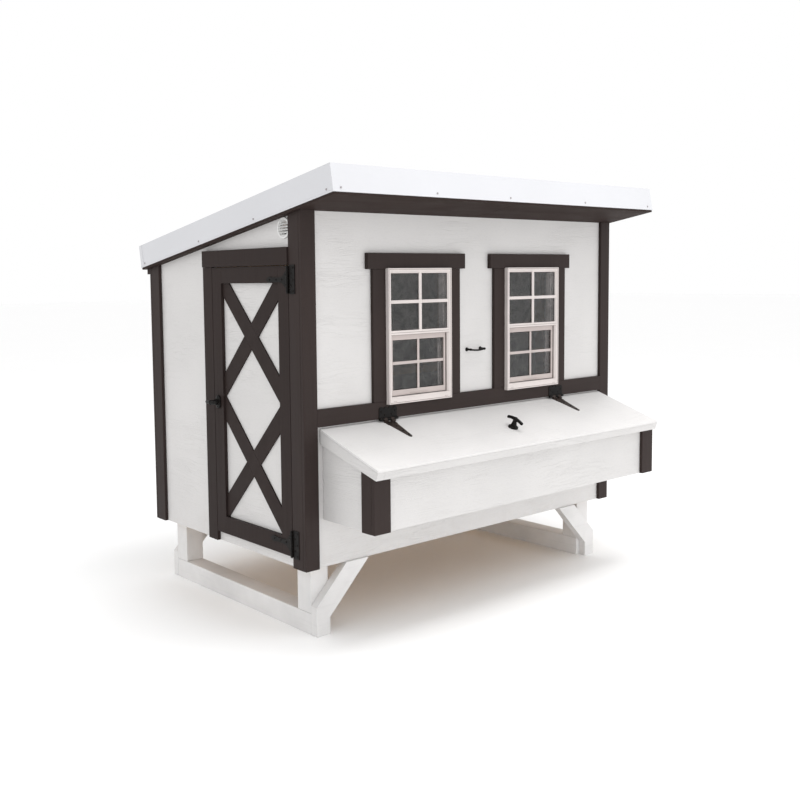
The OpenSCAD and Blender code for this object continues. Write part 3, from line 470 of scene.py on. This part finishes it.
def lathe(bm, c, n, prof, seg=24, cap=True):
    """Turned shape on axis n at c. prof: (radius, height) pairs."""
    u, v, n = basis(n)
    rings = []
    for r, h in prof:
        if r < 1e-7:
            rings.append([bm.verts.new(c + n * h)])
        else:
            rings.append([bm.verts.new(c + n * h + (u * math.cos(t) + v * math.sin(t)) * r) for t in (2 * math.pi * i / seg for i in range(seg))])
    for a, b in zip(rings, rings[1:]):
        for i in range(seg):
            j = (i + 1) % seg
            if len(a) == 1 and len(b) == 1:
                continue
            if len(a) == 1:
                bm.faces.new((a[0], b[i], b[j]))
            elif len(b) == 1:
                bm.faces.new((a[i], a[j], b[0]))
            else:
                bm.faces.new((a[i], a[j], b[j], b[i]))
    if cap:
        for rr in (rings[0], rings[-1]):
            if len(rr) > 1:
                bm.faces.new(rr)


def screw(bm, c, n, r=0.0035, h=0.0018, slot=True, turn=0.0):
    """Domed screw head with a cross recess, foot on the surface at c."""
    u, v, n = basis(n)
    ct, st = math.cos(turn), math.sin(turn)
    u, v = u * ct + v * st, v * ct - u * st
    seg = 24
    rads = [0.0, 0.12, 0.22, 0.34, 0.46, 0.58, 0.72, 0.86, 0.95, 1.0]
    rings = []
    for q in rads:
        ring = []
        cnt = 1 if q == 0 else seg
        for i in range(cnt):
            t = 2 * math.pi * i / seg
            x, y = q * math.cos(t), q * math.sin(t)
            z = h * math.sqrt(max(0.0, 1.0 - (0.97 * q) ** 2))
            if slot and (min(abs(x), abs(y)) < 0.13 and max(abs(x), abs(y)) < 0.52):
                z -= 0.55 * h
            if q == 1.0:
                z = 0.0
            ring.append(bm.verts.new(c + (u * x + v * y) * r + n * z))
        rings.append(ring)
    for a, b in zip(rings, rings[1:]):
        for i in range(seg):
            j = (i + 1) % seg
            if len(a) == 1:
                bm.faces.new((a[0], b[i], b[j]))
            else:
                bm.faces.new((a[i], b[i], b[j], a[j]))
    bm.faces.new(list(reversed(rings[-1])))


def hexhead(bm, c, n, r=0.004, h=0.004, washer=0.007):
    u, v, n = basis(n)
    lathe(bm, c, n, [(washer, 0.0), (washer, 0.0006), (washer * 0.92, 0.0012), (r * 1.2, 0.0014)], seg=24)
    base = [c + n * 0.0012 + (u * math.cos(t) + v * math.sin(t)) * r for t in (math.pi / 3 * i for i in range(6))]
    lo = [bm.verts.new(p) for p in base]
    mid = [bm.verts.new(p + n * h * 0.8) for p in base]
    top = [bm.verts.new(c + n * (0.0012 + h) + (p - c - n * 0.0012) * 0.78) for p in base]
    for a, b in ((lo, mid), (mid, top)):
        for i in range(6):
            bm.faces.new((a[i], a[(i + 1) % 6], b[(i + 1) % 6], b[i]))
    bm.faces.new(top)
    bm.faces.new(list(reversed(lo)))


def rbox(bm, lo, hi, r=0.0, seg=2):
    """Box between two corners with rounded edges."""
    res = bmesh.ops.create_cube(bm, size=1.0)
    vs = res["verts"]
    c = (Vector(lo) + Vector(hi)) / 2
    s = Vector(hi) - Vector(lo)
    for v in vs:
        v.co = Vector((v.co.x * abs(s.x), v.co.y * abs(s.y), v.co.z * abs(s.z))) + c
    if r > 0:
        es = list({e for v in vs for e in v.link_edges})
        bmesh.ops.bevel(bm, geom=es, offset=r, segments=seg, profile=0.5, affect="EDGES", clamp_overlap=True)


def tube(bm, pts, radii, seg=16, squash=None):
    """Swept round bar through pts, with a radius at each point; squash = (axis, factor)."""
    n = len(pts)
    rings = []
    ref = None
    for i, p in enumerate(pts):
        t = (pts[min(i + 1, n - 1)] - pts[max(i - 1, 0)]).normalized()
        if ref is None:
            ref = Vector((0, 0, 1)) if abs(t.z) < 0.9 else Vector((1, 0, 0))
        u = (ref - t * ref.dot(t)).normalized()
        v = t.cross(u)
        ref = u
        r = radii[i] if isinstance(radii, (list, tuple)) else radii
        ring = []
        for k in range(seg):
            a = 2 * math.pi * k / seg
            d = (u * math.cos(a) + v * math.sin(a)) * r
            if squash:
                ax, f = squash
                d = d - ax * d.dot(ax) * (1 - f)
            ring.append(bm.verts.new(p + d))
        rings.append(ring)
    for a, b in zip(rings, rings[1:]):
        for k in range(seg):
            bm.faces.new((a[k], a[(k + 1) % seg], b[(k + 1) % seg], b[k]))
    bm.faces.new(rings[0])
    bm.faces.new(list(reversed(rings[-1])))


def sweep(bm, a, b, d1, d2, prof):
    """Straight moulding from a to b; prof: (along d1, along d2) pairs in mm."""
    ra = [bm.verts.new(a + d1 * (p / 1000.0) + d2 * (q / 1000.0)) for p, q in prof]
    rb = [bm.verts.new(b + d1 * (p / 1000.0) + d2 * (q / 1000.0)) for p, q in prof]
    k = len(prof)
    for i in range(k):
        j = (i + 1) % k
        bm.faces.new((ra[i], ra[j], rb[j], rb[i]))
    bm.faces.new(ra)
    bm.faces.new(list(reversed(rb)))


# ------------------------------------------------------------------ roof details
RA = math.atan(0.172)
EAVE = 1425.0


def R(x, u, w):
    """Point in the roof's own frame: x along, u down the slope, w square to it (mm)."""
    return P(x, u * math.cos(RA) + w * math.sin(RA), EAVE - u * math.sin(RA) + w * math.cos(RA))


RX0, RX1, RU0, RU1, RTOP, RLIFT = -40.0, 1986.0, -254.0, 1250.0, 116.0, 13.0
RN = Vector((0, math.sin(RA), math.cos(RA)))
RU = Vector((0, math.cos(RA), -math.sin(RA)))


def roof_hems():
    """Folded hem along the foot of each edge trim."""
    bm = bmesh.new()
    prof = [(-1.6, -4.0), (0.4, -4.3), (1.5, -3.7), (1.9, -2.4), (1.9, 0.6), (1.4, 1.8), (0.3, 2.2), (-0.3, 2.2), (-1.6, 0.0)]
    X = Vector((1, 0, 0))
    sweep(bm, R(RX0 - 1.5, RU0, RLIFT), R(RX1 + 1.5, RU0, RLIFT), -RU, RN, prof)
    sweep(bm, R(RX0 - 1.5, RU1, RLIFT), R(RX1 + 1.5, RU1, RLIFT), RU, RN, prof)
    sweep(bm, R(RX0, RU0 - 1.5, RLIFT), R(RX0, RU1 + 1.5, RLIFT), -X, RN, prof)
    sweep(bm, R(RX1, RU0 - 1.5, RLIFT), R(RX1, RU1 + 1.5, RLIFT), X, RN, prof)
    return finish_piece("fascia_hems", bm, "roof", "cabin")


def roof_screws():
    """Washer-head screws down the flats beside each rib, and on the edge trims' top returns."""
    bm = bmesh.new()
    rp = (2022.0 - 80.0) / 8.0
    sheet = 13.0 + 103.0 - 21.0 + 9.0 + 0.8
    for i in range(9):
        x = -38.0 + 40.0 + i * rp + 26.0
        if x > 1940:
            x -= 52.0
        for u in (-170.0, 170.0, 520.0, 870.0, 1165.0):
            hexhead(bm, R(x, u, sheet), RN, r=0.0038, h=0.0042, washer=0.0072)
    for i in range(8):
        x = RX0 + 90 + i * (RX1 - RX0 - 180) / 7.0
        for u in (RU0 + 22, RU1 - 22):
            hexhead(bm, R(x, u, RTOP), RN, r=0.0036, h=0.0034, washer=0.0066)
    return finish_piece("roof_screws", bm, "screws", "cabin", smooth=True)


def fascia_laps():
    """Folded corner tabs of the edge trim."""
    bm = bmesh.new()
    for x, s in ((RX0, -1), (RX1, 1)):
        for u0, u1 in ((RU0 + 0.5, RU0 + 26.0), (RU1 - 26.0, RU1 - 0.5)):
            a = [R(x + s * 0.2, u0, RLIFT + 0.5), R(x + s * 0.2, u1, RLIFT + 4.0), R(x + s * 0.2, u1, RTOP - 4.0), R(x + s * 0.2, u0, RTOP - 0.2)]
            b = [p + Vector((s * 0.0009, 0, 0)) for p in a]
            va = [bm.verts.new(p) for p in a]
            vb = [bm.verts.new(p) for p in b]
            bm.faces.new(vb)
            bm.faces.new(list(reversed(va)))
            for i in range(4):
                j = (i + 1) % 4
                bm.faces.new((va[i], va[j], vb[j], vb[i]))
    return finish_piece("fascia_corner_tabs", bm, "roof", "cabin", smooth=False)


roof_hems()
roof_screws()
fascia_laps()


# ------------------------------------------------------------------ windows
WC = (606.0, 1345.0)
WTOP = 1200.0
HW, HI = 186.0, 164.0


def ring(bm, c, ya, yb, x0, x1, z0, z1, w, r=0.0008):
    """Rectangular ring of square strips, w wide, between ya and yb."""
    for (xa, xb, za, zb) in ((x0, x0 + w, z0, z1), (x1 - w, x1, z0, z1), (x0 + w, x1 - w, z1 - w, z1), (x0 + w, x1 - w, z0, z0 + w)):
        rbox(bm, P(c + xa, ya, za), P(c + xb, yb, zb), r, 2)


def window_details():
    for side, c, body in (("left", WC[0], "sash_l"), ("right", WC[1], "sash_r")):
        # moulded lip round the outer edge of the frame face, and the ledge over the sill
        bm = bmesh.new()
        ring(bm, c, -34.3, -32.6, -HW + 0.4, HW - 0.4, 631.4, WTOP - 0.4, 4.0)
        rbox(bm, P(c - 171.6, -34.0, 654.6), P(c + 171.6, -32.6, 660.8), 0.0007, 2)
        finish_piece("frame_lip_" + side, bm, "vinyl", "cabin")
        # thin dark strips inside the lip and across the meeting rail: painted shade lines in the creases
        bm = bmesh.new()
        ring(bm, c, -33.25, -32.8, -HW + 4.6, HW - 4.6, 635.6, WTOP - 4.6, 1.7, 0.0001)
        rbox(bm, P(c - HI - 6.8, -31.25, 928.6), P(c + HI + 6.8, -30.8, 930.3), 0.0001, 2)
        rbox(bm, P(c - HI - 6.8, -31.25, 919.4), P(c + HI + 6.8, -30.8, 921.2), 0.0001, 2)
        finish_piece("frame_crease_shade_" + side, bm, "vinyl_crease_shade", "cabin")
        # pile seals in the track beside the sliding sash and along the sill; real parts, and also dark strips that
        # stand for the shadow line at the sash's edge
        bm = bmesh.new()
        for xa, xb in ((-HI + 0.1, -HI + 3.0), (HI - 3.0, HI - 0.1)):
            rbox(bm, P(c + xa, -19.3, 662.2), P(c + xb, -18.15, 918.8), 0.0003, 2)
        rbox(bm, P(c - HI + 3.0, -19.3, 661.6), P(c + HI - 3.0, -18.15, 663.6), 0.0003, 2)
        finish_piece("pile_seals_and_shadow_line_" + side, bm, "rubber", "cabin")
        # weep covers in the darker vinyl, which paints the shade of the weep slots
        bm = bmesh.new()
        for x in (-152, 152):
            rbox(bm, P(c + x - 10, -33.5, 640.4), P(c + x + 10, -32.7, 644.4), 0.0004, 2)
        finish_piece("weep_covers_" + side, bm, "vinyl_shade_mark", "cabin")
        # dark glazing gaskets, real parts, made wide so that they also paint the shade lines at the pane edges
        bm = bmesh.new()
        ring(bm, c, -26.0, -25.2, -HI + 0.1, HI - 0.1, 939.1, WTOP - 22.1, 2.4, 0.0003)
        finish_piece("upper_gasket_and_shade_" + side, bm, "rubber", "cabin")
        bm = bmesh.new()
        ring(bm, c, -12.0, -11.2, -HI + 13.1, HI - 13.1, 687.1, 897.9, 2.4, 0.0003)
        finish_piece("sash_gasket_and_shade_" + side, bm, "rubber", body)
        # lift rail on the sliding sash
        bm = bmesh.new()
        rbox(bm, P(c - 52, -22.0, 668.5), P(c + 52, -17.8, 672.0), 0.0012, 2)
        finish_piece("sash_lift_" + side, bm, "vinyl_sash_shaded", body)
        # sash lock: turning cam with a lever, on top of the sash behind the meeting rail
        bm = bmesh.new()
        lathe(bm, P(c, -8.5, 920.8), Vector((0, 0, 1)), [(0.0085, 0.0), (0.0085, 0.0035), (0.006, 0.005), (0.0045, 0.008), (0.0, 0.009)], seg=24)
        tube(bm, [P(c, -8.5, 927), P(c + 12, -6.5, 928), P(c + 24, -3.5, 927.6)], [0.0034, 0.003, 0.0022], seg=10)
        finish_piece("sash_lock_" + side, bm, "vinyl", body)
        # woven insect screen in its own thin frame, inside the lower opening
        bm = bmesh.new()
        for (xa, xb, za, zb) in ((-163, -151, 662, 940), (151, 163, 662, 940), (-151, 151, 662, 674), (-151, 151, 928, 940)):
            rbox(bm, P(c + xa, 18.5, za), P(c + xb, 25.5, zb), 0.0012, 2)
        finish_piece("screen_frame_" + side, bm, "vinyl", "cabin")
        bm = bmesh.new()
        pitch, t = 4.0, 0.28
        k = int(302 / pitch)
        for i in range(k + 1):
            x = c - 151 + i * pitch
            q = [P(x - t, 22, 674), P(x + t, 22, 674), P(x + t, 22, 928), P(x - t, 22, 928)]
            q2 = [p + Vector((0, 0.0004, 0)) for p in q]
            va = [bm.verts.new(p) for p in q]
            vb = [bm.verts.new(p) for p in q2]
            bm.faces.new(va)
            bm.faces.new(list(reversed(vb)))
            for a in range(4):
                b = (a + 1) % 4
                bm.faces.new((va[a], vb[a], vb[b], va[b]))
        k = int(254 / pitch)
        for i in range(k + 1):
            z = 674 + i * pitch
            q = [P(c - 151, 22.5, z - t), P(c + 151, 22.5, z - t), P(c + 151, 22.5, z + t), P(c - 151, 22.5, z + t)]
            q2 = [p + Vector((0, 0.0004, 0)) for p in q]
            va = [bm.verts.new(p) for p in q]
            vb = [bm.verts.new(p) for p in q2]
            bm.faces.new(va)
            bm.faces.new(list(reversed(vb)))
            for a in range(4):
                b = (a + 1) % 4
                bm.faces.new((va[a], vb[a], vb[b], va[b]))
        finish_piece("screen_mesh_" + side, bm, "mesh", "cabin", smooth=False)


window_details()


# ------------------------------------------------------------------ hardware details
LA = math.radians(18.9)


def lid_z(y):
    return 565.1 + math.tan(LA) * (y + 5.3)


def Lp(x0, y0, lx, ly, lz):
    """Point on the lid: foot at (x0, y0) on its top face, lx along X, ly up the slope, lz square to it."""
    return P(x0 + lx, y0 + ly * math.cos(LA) - lz * math.sin(LA), lid_z(y0) + ly * math.sin(LA) + lz * math.cos(LA))


LN = Vector((0, -math.sin(LA), math.cos(LA)))
XM = Vector((-1, 0, 0))
YM = Vector((0, -1, 0))


def hinge_screws():
    rnd = random.Random(7)
    bm = bmesh.new()
    for z in (98.0, 1158.0):
        for dz, y in ((-46, 36), (-24, 50), (24, 50), (47, 36), (0, 38)):
            screw(bm, P(-19, y, z + dz), XM, 0.0044, 0.0024, turn=rnd.random())
    for x in (425.0, 1530.0):
        for dx, z in ((-38, 604), (-19, 590), (19, 590), (38, 604)):
            screw(bm, P(x + dx, -19, z), YM, 0.004, 0.0022, turn=rnd.random())
    for y in (820.0, 980.0):
        for dy in (-20, 0, 20):
            screw(bm, P(1964.5, y + dy, 38), -XM, 0.0034, 0.0018, turn=rnd.random())
    finish_piece("hinge_screws", bm, "iron", "cabin")
    bm = bmesh.new()
    for z in (98.0, 1158.0):
        for y, dz in ((84.5, 20), (84.5, -20), (112, 0), (150, 0), (196, 0)):
            screw(bm, P(-19, y, z + dz), XM, 0.0042, 0.0024, turn=rnd.random())
    finish_piece("door_strap_screws", bm, "iron", "door")
    bm = bmesh.new()
    for x in (425.0, 1530.0):
        for lx, ly in ((17, -16), (-17, -16), (0, -50), (0, -92), (0, -128)):
            screw(bm, Lp(x, -22.5, lx, ly, 3.0), LN, 0.0042, 0.0024, turn=rnd.random())
    finish_piece("lid_strap_screws", bm, "iron", "lid")
    bm = bmesh.new()
    for y in (820.0, 980.0):
        for dy in (-20, 0, 20):
            screw(bm, P(1964.5, y + dy, 86), -XM, 0.0034, 0.0018, turn=rnd.random())
    finish_piece("pop_leaf_screws", bm, "iron", "pop_door")


hinge_screws()


def t_handle_piece(name, foot, n, bar, body, node):
    """Cast T handle: flared neck and drop-ended bar; the key barrel in the middle is made with the spindle."""
    bm = bmesh.new()
    n = n.normalized()
    bar = bar.normalized()
    lathe(bm, foot, n, [(0.0, 0.0), (0.0136, 0.0), (0.0140, 0.0012), (0.0128, 0.0050), (0.0108, 0.0120), (0.0094, 0.0190), (0.0090, 0.0235), (0.0100, 0.0275),
                        (0.0108, 0.0310), (0.0106, 0.0350), (0.0092, 0.0380), (0.0070, 0.0390), (0.0066, 0.0385), (0.0, 0.0384)], seg=36, cap=False)
    for s in (-1, 1):
        pts, rad = [], []
        for i in range(17):
            t = i / 16.0
            d = 0.004 + t * 0.0368
            sag = -0.0060 * (t ** 1.8)
            pts.append(foot + n * (0.0318 + sag) + bar * (s * d))
            rad.append(0.0088 - 0.0016 * t ** 0.8 + (0.0005 if t > 0.85 else 0.0))
        for k in (1, 2, 3, 4):
            a = k / 4.0
            pts.append(pts[16] + (bar * s) * (0.0034 * math.sin(a * math.pi / 2)))
            rad.append(0.0075 * math.cos(a * math.pi / 2 * 0.96))
        tube(bm, pts, rad, seg=20, squash=(n, 0.88))
    ob = finish_piece(name, bm, "iron", body, sharp=50)
    return ob


# door T handle: spindle goes on through to the cam, so the CAD spindle is kept as a piece of its own
dh = P(-26.4, 602, 627)
ob = t_handle_piece("door_t_handle_cast", dh, XM, Vector((0, 1, 0)), "door_handle", "door_t_handle")
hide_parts("door_t_handle")
lh = Lp(990, -213, 0, 0, 10.4)
ob = t_handle_piece("lid_t_handle_cast", lh, LN, Vector((0, math.cos(LA), math.sin(LA))), "lid_handle", "lid_t_handle")
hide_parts("lid_t_handle")


def spindles():
    bm = bmesh.new()
    a, n = dh, XM
    lathe(bm, a - n * 0.0455, n, [(0.0, 0.0), (0.0033, 0.0), (0.004, 0.0006), (0.004, 0.052)], seg=20, cap=False)
    lathe(bm, P(16, 602, 627), -XM, [(0.009, 0.0), (0.009, 0.0012), (0.0065, 0.0014)], seg=24)
    lathe(bm, P(17.2, 602, 627), -XM, [(0.0068, 0.0), (0.0068, 0.0032), (0.0060, 0.004)], seg=6)
    # key barrel on the handle's nose
    lathe(bm, a + n * 0.0386, n, [(0.0066, 0.0), (0.0066, 0.0010), (0.0060, 0.0014), (0.0, 0.0014)], seg=28)
    rbox(bm, a + n * 0.0399 + Vector((-0.0004, -0.0006, -0.0032)), a + n * 0.0399 + Vector((0.0004, 0.0006, 0.0032)), 0.0)
    finish_piece("door_handle_spindle", bm, "iron", "door_handle")
    bm = bmesh.new()
    a, n = lh, LN
    lathe(bm, a - n * 0.0725, n, [(0.0, 0.0), (0.0033, 0.0), (0.004, 0.0006), (0.004, 0.079)], seg=20, cap=False)
    lathe(bm, Lp(990, -213, 0, 0, -60), -LN, [(0.0068, 0.0), (0.0068, 0.0032), (0.0060, 0.004)], seg=6)
    lathe(bm, a + n * 0.0386, n, [(0.0066, 0.0), (0.0066, 0.0010), (0.0060, 0.0014), (0.0, 0.0014)], seg=28)
    finish_piece("lid_handle_spindle", bm, "iron", "lid_handle")


spindles()


def roses():
    # oval plate on the door
    bm = bmesh.new()
    c, n, u, v = P(-16, 602, 627), XM, Vector((0, 1, 0)), Vector((0, 0, 1))
    prof = [(0.0177, 0.0002), (0.0180, 0.0010), (0.0180, 0.0042), (0.0172, 0.0056), (0.0158, 0.0064), (0.0152, 0.0066)]
    rings = []
    for r, h in prof:
        rr = []
        for k in range(48):
            t = 2 * math.pi * k / 48
            off = 0.0115 if math.sin(t) > 1e-6 else (-0.0115 if math.sin(t) < -1e-6 else 0.0)
            rr.append(bm.verts.new(c + n * h + u * (r * math.cos(t)) + v * (r * math.sin(t) + off)))
        rings.append(rr)
    for a, b in zip(rings, rings[1:]):
        for k in range(48):
            bm.faces.new((a[k], a[(k + 1) % 48], b[(k + 1) % 48], b[k]))
    bm.faces.new(rings[0])
    bm.faces.new(list(reversed(rings[-1])))
    lathe(bm, c, n, [(0.0042, 0.0060), (0.0146, 0.0060), (0.0146, 0.0082), (0.0138, 0.0096), (0.0128, 0.0100), (0.0045, 0.0100), (0.0042, 0.0094), (0.0042, 0.0060)], seg=40, cap=False)
    for s in (-1, 1):
        screw(bm, c + n * 0.0064 + v * (s * 0.0212), n, 0.0033, 0.0016, turn=0.5 * s)
    ob = finish_piece("door_rose_oval", bm, "iron", "door", sharp=40)
    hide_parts("door_latch_rose")
    # bell-shaped rose on the lid
    bm = bmesh.new()
    lathe(bm, Lp(990, -213, 0, 0, 0), LN, [(0.0042, 0.0002), (0.0221, 0.0002), (0.0225, 0.0010), (0.0225, 0.0052), (0.0218, 0.0068), (0.0200, 0.0082), (0.0176, 0.0092),
                                         (0.0154, 0.0100), (0.0045, 0.0100), (0.0042, 0.0094), (0.0042, 0.0002)], seg=48, cap=False)
    ob = finish_piece("lid_rose_bell", bm, "iron", "lid", sharp=40)
    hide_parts("lid_handle_rose")


roses()


def pull_bar():
    """Wall pull: cast feet, round bar with a slight sag."""
    bm = bmesh.new()
    for x in (921.0, 1009.0):
        lathe(bm, P(x, 0, 834), YM, [(0.0, 0.0), (0.0092, 0.0), (0.0092, 0.0016), (0.0080, 0.0030), (0.0058, 0.0040), (0.0050, 0.0080), (0.0048, 0.0200)], seg=28, cap=False)
    pts = []
    for i in range(29):
        t = i / 28.0
        x = 921.0 + 88.0 * t
        z = 834.0 - 4.2 * math.sin(math.pi * t) ** 0.8 if 0 < t < 1 else 834.0
        pts.append(P(x, -26.5 - 0.8 * math.sin(math.pi * t), z))
    pts = [P(916.6, -26.5, 834.6)] + pts + [P(1013.4, -26.5, 834.6)]
    rad = [0.0030] + [0.0046 if (i < 3 or i > 25) else 0.0040 for i in range(29)] + [0.0030]
    tube(bm, pts, rad, seg=16)
    for x in (921.0, 1009.0):
        lathe(bm, P(x, -18, 834), YM, [(0.0048, 0.0), (0.0052, 0.004), (0.0056, 0.0085), (0.0050, 0.0125), (0.0030, 0.0140), (0.0, 0.0145)], seg=24, cap=False)
    ob = finish_piece("wall_pull_cast", bm, "iron", "cabin", sharp=45)
    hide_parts("wall_handle")


pull_bar()


# ------------------------------------------------------------------ floor, light
def stage():
    bm = bmesh.new()
    s = 60.0
    vs = [bm.verts.new((x, y, 0.0)) for x, y in ((-s, -s), (s, -s), (s, s), (-s, s))]
    bm.faces.new(vs)
    me = bpy.data.meshes.new("floor")
    bm.to_mesh(me)
    bm.free()
    ob = bpy.data.objects.new("floor", me)
    m = Mat("floor_pale", (0.985, 0.985, 0.985), 0.85, spec=0.1)
    x, y, z, obj = m.xyz()
    t = m.noise(obj, 1.2, 3.0, 0.6)
    m.color(m.mixc(t, (0.975, 0.975, 0.975), (0.995, 0.995, 0.995)))
    ob.data.materials.append(m.m)
    bpy.context.collection.objects.link(ob)
    w = bpy.data.worlds.new("studio")
    bpy.context.scene.world = w
    w.use_nodes = True
    bg = w.node_tree.nodes["Background"]
    bg.inputs[0].default_value = (1.0, 1.0, 1.0, 1.0)
    bg.inputs[1].default_value = 1.0

    def area(name, loc, aim, size, power, col=(1, 1, 1)):
        l = bpy.data.lights.new(name, "AREA")
        l.shape = "RECTANGLE"
        l.size = size[0]
        l.size_y = size[1]
        l.energy = power
        l.color = col
        o = bpy.data.objects.new(name, l)
        loc = Vector(loc)
        d = (Vector(aim) - loc).normalized()
        o.rotation_euler = d.to_track_quat("-Z", "Y").to_euler()
        o.location = loc
        bpy.context.collection.objects.link(o)

    area("top", (0.3, -1.6, 6.5), (0.0, -0.3, 0.6), (3.0, 3.0), 185)
    area("front", (0.8, -6.5, 0.9), (0.0, -0.4, 0.9), (3.5, 1.6), 42)


stage()
